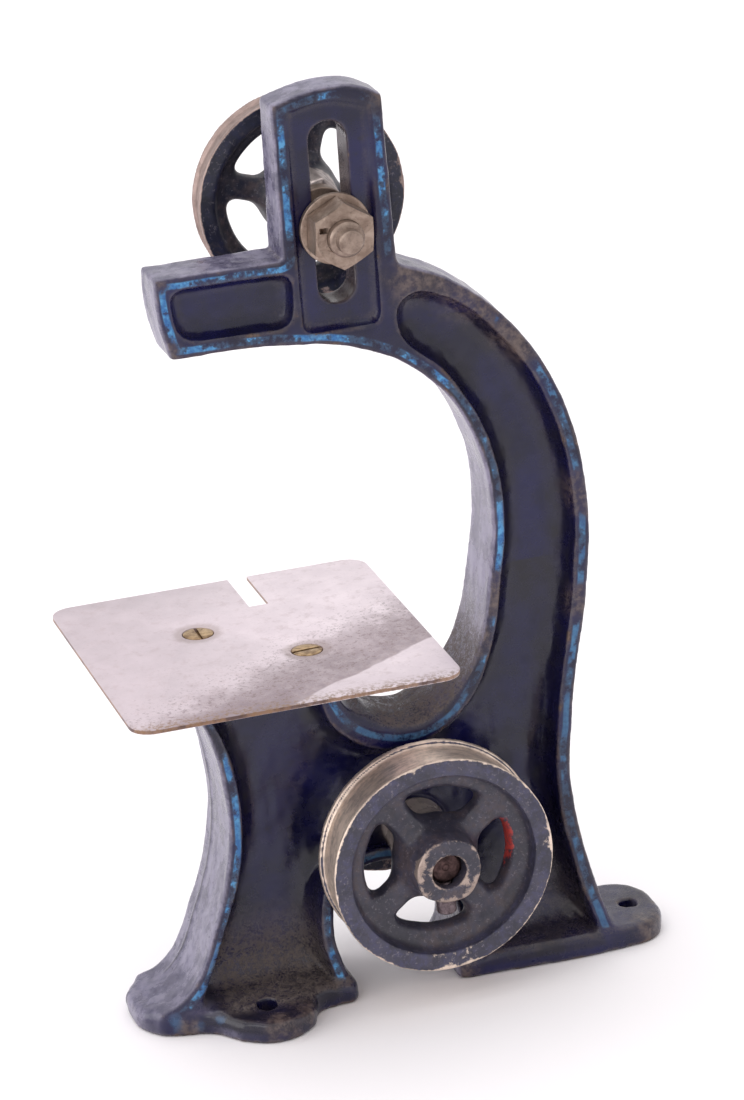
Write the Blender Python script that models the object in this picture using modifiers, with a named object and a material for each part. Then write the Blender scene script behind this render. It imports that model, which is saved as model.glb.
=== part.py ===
"""Toy band saw: iron C-frame, table, drive pulley, two band wheels and a sliding top stud.

Works in millimetres and scales to metres when each mesh is made. +Z is up, +X is towards the
column, -Y is the side with the drive pulley. The base stands on Z = 0.
"""
import math

import bmesh
import bpy
from mathutils import Vector

MM = 0.001

# ---- driving dimensions, millimetres ------------------------------------------------------
CLEARANCE = 0.3                  # gap left between pieces that touch on the real saw

BASE_HALF_DEPTH = 11.4           # half the casting's thickness at the ground
DEPTH_TAPER = 0.0315             # loss of that half thickness per millimetre of height
EDGE_ROUND = 1.1                 # rounding of the casting's outer edges
COLUMN_WEB = 1.75                # half thickness of the web inside the column and legs
ARM_WEB = 2.2
HEAD_WEB = 4.1
FOOT_THICKNESS = 5.0
SCREW_HOLE_R = 2.2

SHAFT_X, SHAFT_Z = 6.6, 35.6     # lower shaft
STUD_X, STUD_Z = -3.0, 181.5     # upper stud as it stands in its slot
SLOT_LOW, SLOT_HIGH = 164.4, 205.0
SLOT_HALF_WIDTH = 4.2

SHAFT_R = 3.75
BEARING_R = 3.82
BOSS_R = 7.5
BOSS_HALF_LENGTH = 12.0

TABLE_X = -27.3
TABLE_LENGTH, TABLE_DEPTH = 75.0, 77.0
TABLE_TOP, TABLE_THICKNESS = 87.0, 1.0
TABLE_CORNER = 5.0
TABLE_SLOT_X, TABLE_SLOT_WIDTH, TABLE_SLOT_LENGTH = -19.8, 4.6, 18.2
TABLE_SCREWS = ((TABLE_X - 9.8, 10.0), (TABLE_X + 9.8, -10.0))
TABLE_SCREW_HEAD_R, TABLE_SCREW_R = 3.5, 1.5

PULLEY_R, PULLEY_NEAR, PULLEY_FAR = 25.8, -25.3, -12.3
PULLEY_HUB_R, PULLEY_HUB_NEAR = 7.9, -29.0
PULLEY_SCREW_Y, WHEEL_SCREW_Y = -24.6, 15.0
TOP_WHEEL_R, LOWER_WHEEL_R = 23.7, 20.0
WHEEL_NEAR, WHEEL_FAR = 19.0, 25.5
WHEEL_HUB_FAR = 27.2
STUD_R = 4.0
RUNNING_R = 4.07                 # bore of the wheel that runs on the stud
HUB_BORE_R = 4.0                 # bore of the wheels that are screwed to the shaft

SEGMENTS = 40

COLOURS = {
    "navy_enamel": ((0.035, 0.04, 0.10, 1.0), 0.35, 0.2),
    "nickelled_sheet": ((0.62, 0.58, 0.60, 1.0), 0.35, 0.9),
    "brass": ((0.55, 0.42, 0.22, 1.0), 0.4, 0.9),
    "worn_steel": ((0.40, 0.35, 0.30, 1.0), 0.45, 0.9),
    "enamelled_wheel": ((0.06, 0.06, 0.09, 1.0), 0.45, 0.3),
}


# ---- scene set-up -------------------------------------------------------------------------
for old in list(bpy.data.objects):
    bpy.data.objects.remove(old, do_unlink=True)
for old in list(bpy.data.collections):
    bpy.data.collections.remove(old)

parts = bpy.data.collections.new("toy_band_saw")
cutters = bpy.data.collections.new("cutters")
bpy.context.scene.collection.children.link(parts)
bpy.context.scene.collection.children.link(cutters)


def material(slot, node_name):
    colour, roughness, metallic = COLOURS[slot]
    mat = bpy.data.materials.new(node_name)
    mat.use_nodes = True
    shader = mat.node_tree.nodes["Principled BSDF"]
    shader.inputs["Base Color"].default_value = colour
    shader.inputs["Roughness"].default_value = roughness
    shader.inputs["Metallic"].default_value = metallic
    mat.diffuse_color = colour
    return mat


def finish(obj, slot):
    """File a finished piece under the saw and give it its own material."""
    obj.data.materials.clear()
    obj.data.materials.append(material(slot, obj.name))
    for collection in list(obj.users_collection):
        collection.objects.unlink(obj)
    parts.objects.link(obj)
    return obj


def as_cutter(obj):
    obj.hide_render = True
    obj.display_type = "WIRE"
    return obj


def add_object(name, mesh):
    obj = bpy.data.objects.new(name, mesh)
    cutters.objects.link(obj)
    return as_cutter(obj)


def shade(mesh, sharp_angle=35.0):
    """Smooth the round faces and keep the hard edges sharp."""
    work = bmesh.new()
    work.from_mesh(mesh)
    for face in work.faces:
        face.smooth = True
    limit = math.radians(sharp_angle)
    for edge in work.edges:
        if len(edge.link_faces) == 2:
            edge.smooth = edge.calc_face_angle(0.0) < limit
    work.to_mesh(mesh)
    work.free()


# ---- shapes -------------------------------------------------------------------------------
def block(name, low, high):
    """Box between two opposite corners, millimetres."""
    mesh = bpy.data.meshes.new(name)
    work = bmesh.new()
    bmesh.ops.create_cube(work, size=1.0)
    size = [(b - a) * MM for a, b in zip(low, high)]
    middle = [(b + a) * 0.5 * MM for a, b in zip(low, high)]
    bmesh.ops.scale(work, vec=size, verts=work.verts)
    bmesh.ops.translate(work, vec=middle, verts=work.verts)
    work.to_mesh(mesh)
    work.free()
    return add_object(name, mesh)


def rod(name, radius, start, end, sides=SEGMENTS):
    """Cylinder between two points, millimetres."""
    a, b = Vector(start) * MM, Vector(end) * MM
    mesh = bpy.data.meshes.new(name)
    work = bmesh.new()
    bmesh.ops.create_cone(work, cap_ends=True, segments=sides, radius1=radius * MM,
                          radius2=radius * MM, depth=(b - a).length)
    turn = Vector((0, 0, 1)).rotation_difference((b - a).normalized()).to_matrix()
    bmesh.ops.rotate(work, cent=(0, 0, 0), matrix=turn, verts=work.verts)
    bmesh.ops.translate(work, vec=(a + b) * 0.5, verts=work.verts)
    work.to_mesh(mesh)
    work.free()
    return add_object(name, mesh)


def outline(name, points, low, high, upright=True, resolution=4):
    """Extrude a closed outline.

    Each point is (a, b) for a smooth bend or (a, b, "corner"). Upright outlines are drawn in
    X and Z and run from low to high in Y; the others are drawn in X and Y and run up in Z.
    """
    curve = bpy.data.curves.new(name, "CURVE")
    curve.dimensions = "2D"
    curve.fill_mode = "BOTH"
    curve.resolution_u = resolution
    curve.extrude = (high - low) * 0.5 * MM
    spline = curve.splines.new("BEZIER")
    spline.bezier_points.add(len(points) - 1)
    for knot, point in zip(spline.bezier_points, points):
        knot.co = (point[0] * MM, point[1] * MM, 0.0)
        kind = "VECTOR" if len(point) == 3 else "AUTO"
        knot.handle_left_type = kind
        knot.handle_right_type = kind
    spline.use_cyclic_u = True
    drawn = bpy.data.objects.new(name, curve)
    cutters.objects.link(drawn)
    bpy.context.view_layer.update()
    mesh = bpy.data.meshes.new_from_object(drawn)
    bpy.data.objects.remove(drawn)
    work = bmesh.new()
    work.from_mesh(mesh)
    bmesh.ops.remove_doubles(work, verts=work.verts, dist=0.00001)
    inner_edges = [e for e in work.edges if all(abs(f.normal.z) > 0.99 for f in e.link_faces)]
    bmesh.ops.dissolve_edges(work, edges=inner_edges)
    middle = (low + high) * 0.5 * MM
    for vert in work.verts:
        x, y, z = vert.co
        vert.co = (x, middle - z, y) if upright else (x, y, z + middle)
    bmesh.ops.recalc_face_normals(work, faces=work.faces)
    work.to_mesh(mesh)
    work.free()
    mesh.name = name
    return add_object(name, mesh)


def turned(name, profile, centre, steps=SEGMENTS, upright=False):
    """Spin a closed profile of (radius, distance along the axis) points.

    The axis runs along Y through centre, or along Z when upright is set. Profiles run down
    their outer side first, from the far or upper end.
    """
    mesh = bpy.data.meshes.new(name)
    work = bmesh.new()
    knots = [work.verts.new((r * MM, 0.0, y * MM)) for r, y in profile]
    for first, second in zip(knots, knots[1:] + knots[:1]):
        if first.co.x > 0 or second.co.x > 0:
            work.edges.new((first, second))
    work.to_mesh(mesh)
    work.free()
    obj = add_object(name, mesh)
    screw = obj.modifiers.new("turn", "SCREW")
    screw.axis = "Z"
    screw.steps = steps
    screw.render_steps = steps
    screw.use_merge_vertices = True
    screw.merge_threshold = 0.00001
    if not upright:
        obj.rotation_euler = (-math.pi / 2, 0.0, 0.0)
    obj.location = Vector(centre) * MM
    return obj


def bake(obj):
    """Replace an object's mesh with the result of its modifiers."""
    bpy.context.view_layer.update()
    graph = bpy.context.evaluated_depsgraph_get()
    mesh = bpy.data.meshes.new_from_object(obj.evaluated_get(graph))
    obj.modifiers.clear()
    obj.data = mesh
    return obj


def combine(target, other, operation):
    step = target.modifiers.new(operation.lower(), "BOOLEAN")
    step.operation = operation
    step.solver = "EXACT"
    step.object = other
    return target


def cut(target, *others):
    for other in others:
        combine(target, other, "DIFFERENCE")
    return target


def join(target, *others):
    for other in others:
        combine(target, other, "UNION")
    return target


# ---- frame casting ------------------------------------------------------------------------
SIDE_OUTLINE = [
    (-58.0, 1.0, "corner"), (-58.0, 5.2, "corner"), (-53.2, 7.3), (-49.0, 11.5),
    (-44.2, 22.5), (-40.6, 33.0), (-38.4, 46.0), (-38.8, 58.0), (-41.0, 69.0), (-45.0, 78.5),
    (-46.6, 83.7, "corner"), (-14.4, 83.7, "corner"), (-12.2, 77.5), (-7.6, 68.6),
    (3.6, 63.2), (12.4, 65.2), (18.6, 71.8), (23.0, 80.2), (26.2, 94.0), (28.2, 111.5),
    (25.8, 127.4), (18.0, 141.8), (3.0, 152.6), (-16.0, 156.9), (-42.1, 157.8, "corner"),
    (-44.2, 168.0), (-44.4, 176.2, "corner"), (-15.4, 176.1, "corner"),
    (-15.3, 210.4, "corner"), (-8.0, 212.4), (-1.5, 213.0), (4.5, 212.2), (9.7, 209.6, "corner"),
    (10.4, 171.6, "corner"), (22.4, 165.9), (35.9, 153.5), (46.0, 135.8), (50.8, 112.0),
    (49.3, 88.8), (44.6, 62.9), (42.9, 42.0), (46.3, 21.0), (50.6, 5.5, "corner"),
    (50.6, 1.0, "corner"), (13.0, 1.0, "corner"), (14.3, 12.0), (9.6, 26.0), (-2.0, 32.4),
    (-13.0, 28.4), (-15.9, 19.0), (-12.2, 1.0, "corner"),
]
COLUMN_POCKET = [
    (9.6, 157.2), (11.6, 163.6), (20.6, 162.4), (33.2, 151.0), (42.9, 134.2), (47.4, 112.0),
    (45.9, 89.2), (41.2, 63.2), (39.5, 42.0), (42.8, 21.0), (46.8, 8.0, "corner"),
    (17.0, 8.0, "corner"), (17.3, 13.5), (12.2, 28.4), (-2.4, 35.4), (-15.4, 30.6),
    (-18.9, 19.0), (-16.6, 8.0, "corner"), (-46.6, 8.0, "corner"), (-41.2, 23.5),
    (-37.5, 34.0), (-35.4, 46.0), (-35.8, 57.6), (-38.0, 67.8), (-42.0, 77.0, "corner"),
    (-16.2, 77.0, "corner"), (-10.8, 65.0), (4.4, 58.8), (19.2, 66.4), (25.6, 78.2),
    (29.0, 93.4), (31.0, 111.6), (28.4, 128.6), (20.4, 144.2),
]
ARM_POCKET = [
    (-36.2, 160.9, "corner"), (-19.0, 160.4, "corner"), (-14.2, 165.0, "corner"),
    (-14.2, 168.6, "corner"), (-18.6, 172.9, "corner"), (-36.4, 172.9, "corner"),
    (-41.0, 168.4, "corner"), (-41.0, 165.6, "corner"),
]
HEAD_CHANNEL = [
    (-11.4, 158.8, "corner"), (5.4, 158.8, "corner"), (5.6, 207.0, "corner"),
    (-3.6, 209.6), (-11.4, 208.2, "corner"),
]
FRONT_FOOT = [
    (-11.8, -11.0, "corner"), (-13.0, -13.2, "corner"), (-21.5, -14.8), (-25.6, -21.6),
    (-33.6, -25.3), (-41.0, -22.4), (-47.6, -15.0), (-56.0, -12.2), (-61.0, -7.5),
    (-62.4, 0.0), (-61.0, 7.5), (-56.0, 12.2), (-47.6, 15.0), (-41.0, 22.4),
    (-33.6, 25.3), (-25.6, 21.6), (-21.5, 14.8), (-13.0, 13.2, "corner"),
    (-11.8, 11.0, "corner"),
]
REAR_FOOT = [
    (13.0, -12.4, "corner"), (54.5, -12.9, "corner"), (60.6, -11.3), (64.2, -6.2),
    (65.0, 0.0), (64.2, 6.2), (60.6, 11.3), (54.5, 12.9, "corner"), (13.0, 12.4, "corner"),
]
FOOT_FILLET = [(10.4, 3.8), (9.6, 4.7), (6.4, 5.8), (4.0, 7.6), (2.4, 10.2), (1.6, 14.0),
               (-1.6, 14.0), (-2.4, 10.2), (-4.0, 7.6), (-6.4, 5.8), (-9.6, 4.7), (-10.4, 3.8)]


def foot_fillet(name, x_low, x_high):
    """Concave sweep of metal between the web and the foot, along X."""
    bar = outline(name, [(y, z, "corner") for y, z in FOOT_FILLET], x_low, x_high)
    for vert in bar.data.vertices:
        x, y, z = vert.co
        vert.co = (y, x, z)
    bar.data.flip_normals()
    return bar


def slot_bar(name):
    """Round-ended bar that cuts the stud's slot through the head."""
    points = []
    for centre, start in ((SLOT_HIGH - SLOT_HALF_WIDTH, 0.0), (SLOT_LOW + SLOT_HALF_WIDTH, 180.0)):
        for step in range(13):
            angle = math.radians(start + step * 180.0 / 12)
            points.append((STUD_X + SLOT_HALF_WIDTH * math.cos(angle),
                           centre + SLOT_HALF_WIDTH * math.sin(angle), "corner"))
    return outline(name, points, -14.0, 14.0)


def make_frame():
    body = outline("frame_casting", SIDE_OUTLINE, -12.0, 12.0)
    for vert in body.data.vertices:
        side = math.copysign(1.0, vert.co.y)
        vert.co.y = side * (BASE_HALF_DEPTH * MM - DEPTH_TAPER * vert.co.z)
    edge = body.modifiers.new("outer_edges", "BEVEL")
    edge.width = EDGE_ROUND * MM
    edge.segments = 2
    edge.limit_method = "ANGLE"
    edge.angle_limit = math.radians(50.0)
    edge.use_clamp_overlap = False
    pockets = (("column_pocket", COLUMN_POCKET, COLUMN_WEB), ("arm_pocket", ARM_POCKET, ARM_WEB),
               ("head_channel", HEAD_CHANNEL, HEAD_WEB))
    for name, points, web in pockets:
        cut(body, outline(name + "_near", points, -20.0, -web),
            outline(name + "_far", points, web, 20.0))
    bake(body)

    front_foot = outline("front_foot", FRONT_FOOT, 0.0, FOOT_THICKNESS, upright=False)
    rear_foot = outline("rear_foot", REAR_FOOT, 0.0, FOOT_THICKNESS, upright=False)
    for foot in (front_foot, rear_foot):
        soft = foot.modifiers.new("foot_edges", "BEVEL")
        soft.width = 1.3 * MM
        soft.segments = 2
        soft.limit_method = "ANGLE"
        soft.angle_limit = math.radians(50.0)
    pad = block("table_pad", (-48.5, -14.0, 79.9), (-12.7, 14.0, 85.7))
    under = pad.modifiers.new("pad_edges", "BEVEL")
    under.width = 2.4 * MM
    under.segments = 2
    boss = rod("shaft_boss", BOSS_R, (SHAFT_X, -BOSS_HALF_LENGTH, SHAFT_Z),
               (SHAFT_X, BOSS_HALF_LENGTH, SHAFT_Z))
    join(body, front_foot, rear_foot, pad, boss,
         foot_fillet("front_fillet", -46.9, -16.2), foot_fillet("rear_fillet", 16.0, 47.2))

    holes = [rod("bearing_bore", BEARING_R, (SHAFT_X, -20, SHAFT_Z), (SHAFT_X, 20, SHAFT_Z)),
             slot_bar("stud_slot")]
    for label, x, y in (("near_lug", -34.4, -15.4), ("far_lug", -34.4, 15.4), ("ear", 58.3, 0.0)):
        holes.append(rod(label + "_hole", SCREW_HOLE_R, (x, y, -2), (x, y, 8), 24))
    for index, (x, y) in enumerate(TABLE_SCREWS):
        holes.append(countersunk_hole("pad_hole_%d" % index, x, y, -12.0))
    cut(body, *holes)
    bake(body)
    shade(body.data)
    return finish(body, "navy_enamel")


# ---- table --------------------------------------------------------------------------------
def countersunk_hole(name, x, y, bottom):
    """Screw hole with its countersink, as one cutter."""
    wide = TABLE_SCREW_HEAD_R + CLEARANCE
    narrow = TABLE_SCREW_R + CLEARANCE
    profile = [(0.0, 1.0), (wide + 1.0, 1.0), (narrow, narrow - wide), (narrow, bottom),
               (0.0, bottom)]
    return turned(name, profile, (x, y, TABLE_TOP), 40, upright=True)


def make_table():
    half_x, half_y = TABLE_LENGTH / 2, TABLE_DEPTH / 2
    corners = []
    for sx, sy, start in ((1, 1, 0), (-1, 1, 90), (-1, -1, 180), (1, -1, 270)):
        for step in range(9):
            angle = math.radians(start + step * 90 / 8)
            corners.append((TABLE_X + sx * (half_x - TABLE_CORNER) + TABLE_CORNER * math.cos(angle),
                            sy * (half_y - TABLE_CORNER) + TABLE_CORNER * math.sin(angle),
                            "corner"))
    plate = outline("table_plate", corners, TABLE_TOP - TABLE_THICKNESS, TABLE_TOP, upright=False)
    slot = block("blade_slot", (TABLE_SLOT_X - TABLE_SLOT_WIDTH / 2, half_y - TABLE_SLOT_LENGTH, 80),
                 (TABLE_SLOT_X + TABLE_SLOT_WIDTH / 2, half_y + 2, 90))
    cut(plate, slot)
    for index, (x, y) in enumerate(TABLE_SCREWS):
        cut(plate, countersunk_hole("plate_hole_%d" % index, x, y, -4.0))
    bake(plate)
    shade(plate.data)
    return finish(plate, "nickelled_sheet")


def make_table_screws():
    """Two slotted countersunk screws; the left one's slot runs along Y, the right one's along X."""
    for index, (x, y) in enumerate(TABLE_SCREWS):
        name = ("table_screw_left", "table_screw_right")[index]
        top = TABLE_TOP + 0.1
        depth = TABLE_SCREW_HEAD_R - TABLE_SCREW_R
        profile = [(0.0, 0.0), (TABLE_SCREW_HEAD_R, 0.0), (TABLE_SCREW_R, -depth),
                   (TABLE_SCREW_R, -6.4), (0.0, -6.4)]
        screw = turned(name, profile, (x, y, top), 40, upright=True)
        half = ((0.35, 4.0), (4.0, 0.35))[index]
        cut(screw, block(name + "_slot", (x - half[0], y - half[1], top - 0.7),
                         (x + half[0], y + half[1], top + 1)))
        bake(screw)
        shade(screw.data)
        finish(screw, "brass")


# ---- wheels -------------------------------------------------------------------------------
def window_ring(name, centre, inner, outer, low, high, spoke_width, first_spoke):
    """Four windows between spokes: a ring with a cross taken out of it."""
    ring = turned(name, [(outer, high), (outer, low), (inner, low), (inner, high)], centre)
    for quarter in range(2):
        angle = math.radians(first_spoke + 90 * quarter)
        bar = block("%s_spoke_%d" % (name, quarter), (-40, low - 3, -spoke_width / 2),
                    (40, high + 3, spoke_width / 2))
        for vert in bar.data.vertices:
            x, z = vert.co.x, vert.co.z
            vert.co.x = x * math.cos(angle) - z * math.sin(angle)
            vert.co.z = x * math.sin(angle) + z * math.cos(angle)
        bar.location = (centre[0] * MM, 0.0, centre[2] * MM)
        cut(ring, bar)
    bake(ring)
    soft = ring.modifiers.new("window_corners", "BEVEL")
    soft.width = 1.4 * MM
    soft.segments = 2
    soft.limit_method = "ANGLE"
    soft.angle_limit = math.radians(40.0)
    return ring


def band_wheel(name, centre, radius, hub_near, hub_r, bore_r, rim_web, spoke_width, first_spoke):
    """Narrow spoked wheel with a shallow groove between two low flanges."""
    near, far = WHEEL_NEAR, WHEEL_FAR
    inner = radius - 3.5
    profile = [
        (radius, far), (radius, far - 0.9), (radius - 0.8, far - 1.4),
        (radius - 0.8, near + 1.4), (radius, near + 0.9), (radius, near), (inner, near),
        (inner - 0.6, near + 1.4), (hub_r + 1.0, near + 1.4), (hub_r, near + 0.4),
        (hub_r, hub_near), (bore_r, hub_near), (bore_r, WHEEL_HUB_FAR),
        (hub_r, WHEEL_HUB_FAR), (hub_r, far - 1.0), (hub_r + 1.0, far - 1.9),
        (inner - 0.6, far - 1.9), (inner, far),
    ]
    wheel = turned(name, profile, centre)
    cut(wheel, window_ring(name + "_windows", centre, hub_r + 1.5, inner - rim_web,
                           near - 2, far + 2, spoke_width, first_spoke))
    bake(wheel)
    shade(wheel.data)
    return wheel


def make_pulley():
    centre = (SHAFT_X, 0.0, SHAFT_Z)
    profile = [
        (25.8, PULLEY_FAR), (25.8, -13.6), (24.7, -15.0), (24.7, -22.4), (25.8, -23.8),
        (25.8, PULLEY_NEAR), (21.6, PULLEY_NEAR), (20.6, -20.4), (12.0, -21.2),
        (PULLEY_HUB_R, -24.0), (PULLEY_HUB_R, PULLEY_HUB_NEAR + 0.6),
        (PULLEY_HUB_R - 0.6, PULLEY_HUB_NEAR), (HUB_BORE_R, PULLEY_HUB_NEAR),
        (HUB_BORE_R, -12.4), (PULLEY_HUB_R, -12.4), (PULLEY_HUB_R, -17.0), (21.4, -16.8),
        (22.4, PULLEY_FAR),
    ]
    pulley = turned("drive_pulley", profile, centre)
    cut(pulley, window_ring("pulley_windows", centre, 9.7, 17.1, -27.0, -10.0, 6.4, 37.0))
    cut(pulley, rod("pulley_screw_hole", 1.8, (SHAFT_X, PULLEY_SCREW_Y, SHAFT_Z),
                    (SHAFT_X, PULLEY_SCREW_Y, SHAFT_Z - 12), 32),
        rod("pulley_screw_seat", 2.7, (SHAFT_X, PULLEY_SCREW_Y, SHAFT_Z - 7.7),
            (SHAFT_X, PULLEY_SCREW_Y, SHAFT_Z - 12), 32))
    bake(pulley)
    shade(pulley.data)
    return finish(pulley, "enamelled_wheel")


def set_screw(name, x, y, z, outer, head=None):
    """Slotted screw pointing up at the shaft from below, with a head if head is its radius."""
    top = z - SHAFT_R - 0.15
    if head:
        profile = [(0.0, top), (1.5, top), (1.5, z - outer + 3.5), (head, z - outer + 3.5),
                   (head, z - outer + 0.4), (head - 0.4, z - outer), (0.0, z - outer)]
        screw = turned(name, profile, (x, y, 0.0), 32, upright=True)
    else:
        screw = rod(name, 1.5, (x, y, z - outer), (x, y, top), 32)
    cut(screw, block(name + "_slot", (x - 3, y - 0.3, z - outer - 1), (x + 3, y + 0.3,
                                                                      z - outer + 0.9)))
    bake(screw)
    shade(screw.data)
    return screw


def place_origin(obj, point):
    """Put the object's origin on its joint axis without moving the mesh."""
    target = Vector(point) * MM
    offset = obj.matrix_world.inverted() @ target
    for vert in obj.data.vertices:
        vert.co -= offset
    obj.location = target
    return obj


def make_wheels():
    shaft_centre = (SHAFT_X, 0.0, SHAFT_Z)
    top = band_wheel("upper_band_wheel", (STUD_X, 0.0, STUD_Z), TOP_WHEEL_R, 8.4, 7.6,
                     RUNNING_R, 2.9, 4.9, 74.0)
    finish(top, "enamelled_wheel")
    lower = band_wheel("lower_band_wheel", shaft_centre, LOWER_WHEEL_R, 12.4, 7.0,
                       HUB_BORE_R, 2.0, 4.2, 38.0)
    cut(lower, rod("lower_screw_hole", 1.8, (SHAFT_X, WHEEL_SCREW_Y, SHAFT_Z),
                   (SHAFT_X, WHEEL_SCREW_Y, SHAFT_Z - 12), 32))
    bake(lower)
    shade(lower.data)
    finish(lower, "enamelled_wheel")


# ---- shaft, stud and fastenings -----------------------------------------------------------
def make_shaft():
    profile = [(0.0, 28.0), (SHAFT_R - 0.5, 28.0), (SHAFT_R, 27.5), (SHAFT_R, -25.6),
               (SHAFT_R - 0.5, -26.1), (0.0, -26.1)]
    shaft = turned("drive_shaft", profile, (SHAFT_X, 0.0, SHAFT_Z))
    bake(shaft)
    shade(shaft.data)
    return finish(shaft, "worn_steel")


def make_stud():
    profile = [(0.0, 27.6), (STUD_R, 27.6), (STUD_R, 8.1), (6.5, 8.1), (6.5, 4.4),
               (STUD_R, 4.4), (STUD_R, -14.4), (STUD_R - 0.5, -14.9), (2.8, -14.9),
               (2.8, -17.2), (2.4, -17.6), (0.0, -17.6)]
    stud = turned("upper_stud", profile, (STUD_X, 0.0, STUD_Z))
    cut(stud, rod("stud_end_hole", 1.9, (STUD_X, 20.0, STUD_Z), (STUD_X, 32.0, STUD_Z), 32))
    bake(stud)
    shade(stud.data)
    return finish(stud, "worn_steel")


def make_stud_fastenings():
    centre = (STUD_X, 0.0, STUD_Z)
    bore = STUD_R + CLEARANCE
    washer = turned("stud_washer", [(8.0, -4.4), (8.0, -5.9), (bore, -5.9), (bore, -4.4)], centre)
    bake(washer)
    shade(washer.data)
    finish(washer, "worn_steel")

    nut = rod("stud_nut", 6.5 / math.cos(math.pi / 6), (STUD_X, -12.7, STUD_Z),
              (STUD_X, -6.2, STUD_Z), 6)
    dome = turned("nut_corners", [(20.0, 0.0), (20.0, -16.0), (5.6, -16.0), (6.2, -12.7),
                                  (7.0, -12.1), (9.5, -10.9), (9.5, 0.0)], centre)
    cut(nut, rod("nut_bore", bore, (STUD_X, -20.0, STUD_Z), (STUD_X, 0.0, STUD_Z)), dome)
    bake(nut)
    place_origin(nut, centre)
    shade(nut.data, 20.0)
    finish(nut, "worn_steel")

    plate = turned("wheel_retaining_washer", [(6.6, 28.9), (6.6, 27.9), (1.9, 27.9), (1.9, 28.9)],
                   centre)
    bake(plate)
    shade(plate.data)
    finish(plate, "worn_steel")

    screw = turned("wheel_retaining_screw", [(0.0, 31.6), (3.0, 31.6), (3.5, 31.1), (3.5, 29.2),
                                             (1.6, 29.2), (1.6, 20.8), (0.0, 20.8)], centre)
    cut(screw, block("retaining_slot", (STUD_X - 5, 30.7, STUD_Z - 0.4),
                     (STUD_X + 5, 33.0, STUD_Z + 0.4)))
    bake(screw)
    shade(screw.data)
    finish(screw, "worn_steel")


def make_set_screws():
    centre = (SHAFT_X, 0.0, SHAFT_Z)
    for name, y, outer, head in (("pulley_set_screw", PULLEY_SCREW_Y, 11.5, 2.3),
                                 ("band_wheel_set_screw", WHEEL_SCREW_Y, 6.8, None)):
        screw = set_screw(name, SHAFT_X, y, SHAFT_Z, outer, head)
        place_origin(screw, centre)
        finish(screw, "worn_steel")


make_frame()
make_table()
make_table_screws()
make_pulley()
make_wheels()
make_shaft()
make_stud()
make_stud_fastenings()
make_set_screws()
for piece in parts.objects:
    piece.hide_render = False
    piece.display_type = "TEXTURED"
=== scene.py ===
"""Visual model of the toy band saw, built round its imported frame.

Shapes are worked out in millimetres and turned into metres when a mesh is made. Castings are
sampled distance fields: each is a sum of soft unions and cuts, meshed at its zero level.
"""

import math

import bmesh
import bpy
import numpy as np
from mathutils import Matrix, Vector


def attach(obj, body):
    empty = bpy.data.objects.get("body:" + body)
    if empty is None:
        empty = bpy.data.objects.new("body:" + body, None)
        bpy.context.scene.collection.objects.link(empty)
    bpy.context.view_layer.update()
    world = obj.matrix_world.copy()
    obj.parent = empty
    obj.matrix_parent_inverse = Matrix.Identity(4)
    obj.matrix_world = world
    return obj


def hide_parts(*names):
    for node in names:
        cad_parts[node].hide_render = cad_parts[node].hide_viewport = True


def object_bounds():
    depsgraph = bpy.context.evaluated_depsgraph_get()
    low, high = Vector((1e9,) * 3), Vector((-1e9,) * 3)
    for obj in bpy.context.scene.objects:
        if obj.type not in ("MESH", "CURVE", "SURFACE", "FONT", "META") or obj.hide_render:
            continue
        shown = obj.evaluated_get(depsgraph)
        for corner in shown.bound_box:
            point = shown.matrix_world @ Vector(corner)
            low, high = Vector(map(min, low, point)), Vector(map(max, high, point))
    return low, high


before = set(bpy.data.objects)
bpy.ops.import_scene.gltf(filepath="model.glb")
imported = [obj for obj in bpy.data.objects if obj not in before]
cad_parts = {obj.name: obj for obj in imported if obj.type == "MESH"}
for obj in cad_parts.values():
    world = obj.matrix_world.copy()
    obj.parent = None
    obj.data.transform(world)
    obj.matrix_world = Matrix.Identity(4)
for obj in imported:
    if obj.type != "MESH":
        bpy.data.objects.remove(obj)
CAD_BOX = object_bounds()
MM = 0.001

# ---- sizes shared with the frame, millimetres ----
BASE_HALF_DEPTH, DEPTH_TAPER = 11.4, 0.0315
COLUMN_WEB, ARM_WEB, HEAD_WEB = 1.75, 2.2, 4.1
FOOT_THICKNESS = 5.0
SHAFT_X, SHAFT_Z = 6.6, 35.6
SHAFT_R, SHAFT_BORE_R = 3.75, 3.82
BOSS_R, BOSS_HALF_LENGTH = 7.5, 12.0
STUD_X, STUD_Z = -3.0, 181.5
SLOT_LOW, SLOT_HIGH, SLOT_HALF_WIDTH = 164.4, 205.0, 4.2
TABLE_X, TABLE_LENGTH, TABLE_DEPTH = -27.3, 75.0, 77.0
TABLE_TOP, TABLE_THICKNESS, TABLE_CORNER = 87.0, 1.0, 5.0
TABLE_SLOT_X, TABLE_SLOT_WIDTH, TABLE_SLOT_LENGTH = -19.8, 4.6, 18.2
TABLE_SCREWS = ((TABLE_X - 9.8, 10.0), (TABLE_X + 9.8, -10.0))
SCREW_HOLES = ((-34.4, -15.4), (-34.4, 15.4), (58.3, 0.0))
SCREW_HOLE_R, TABLE_HOLE_R = 2.2, 1.8
PAD_X, PAD_Z, PAD_HALF = -30.6, 82.8, (17.9, 14.0, 2.9)     # the pad under the table
THROAT_CROWN = 3.2                                         # rise of the throat's floor
PULLEY_SCREW_Y, WHEEL_SCREW_Y = -24.6, 15.0
PULLEY_R, TOP_WHEEL_R, LOWER_WHEEL_R = 25.8, 23.7, 20.0

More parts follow.
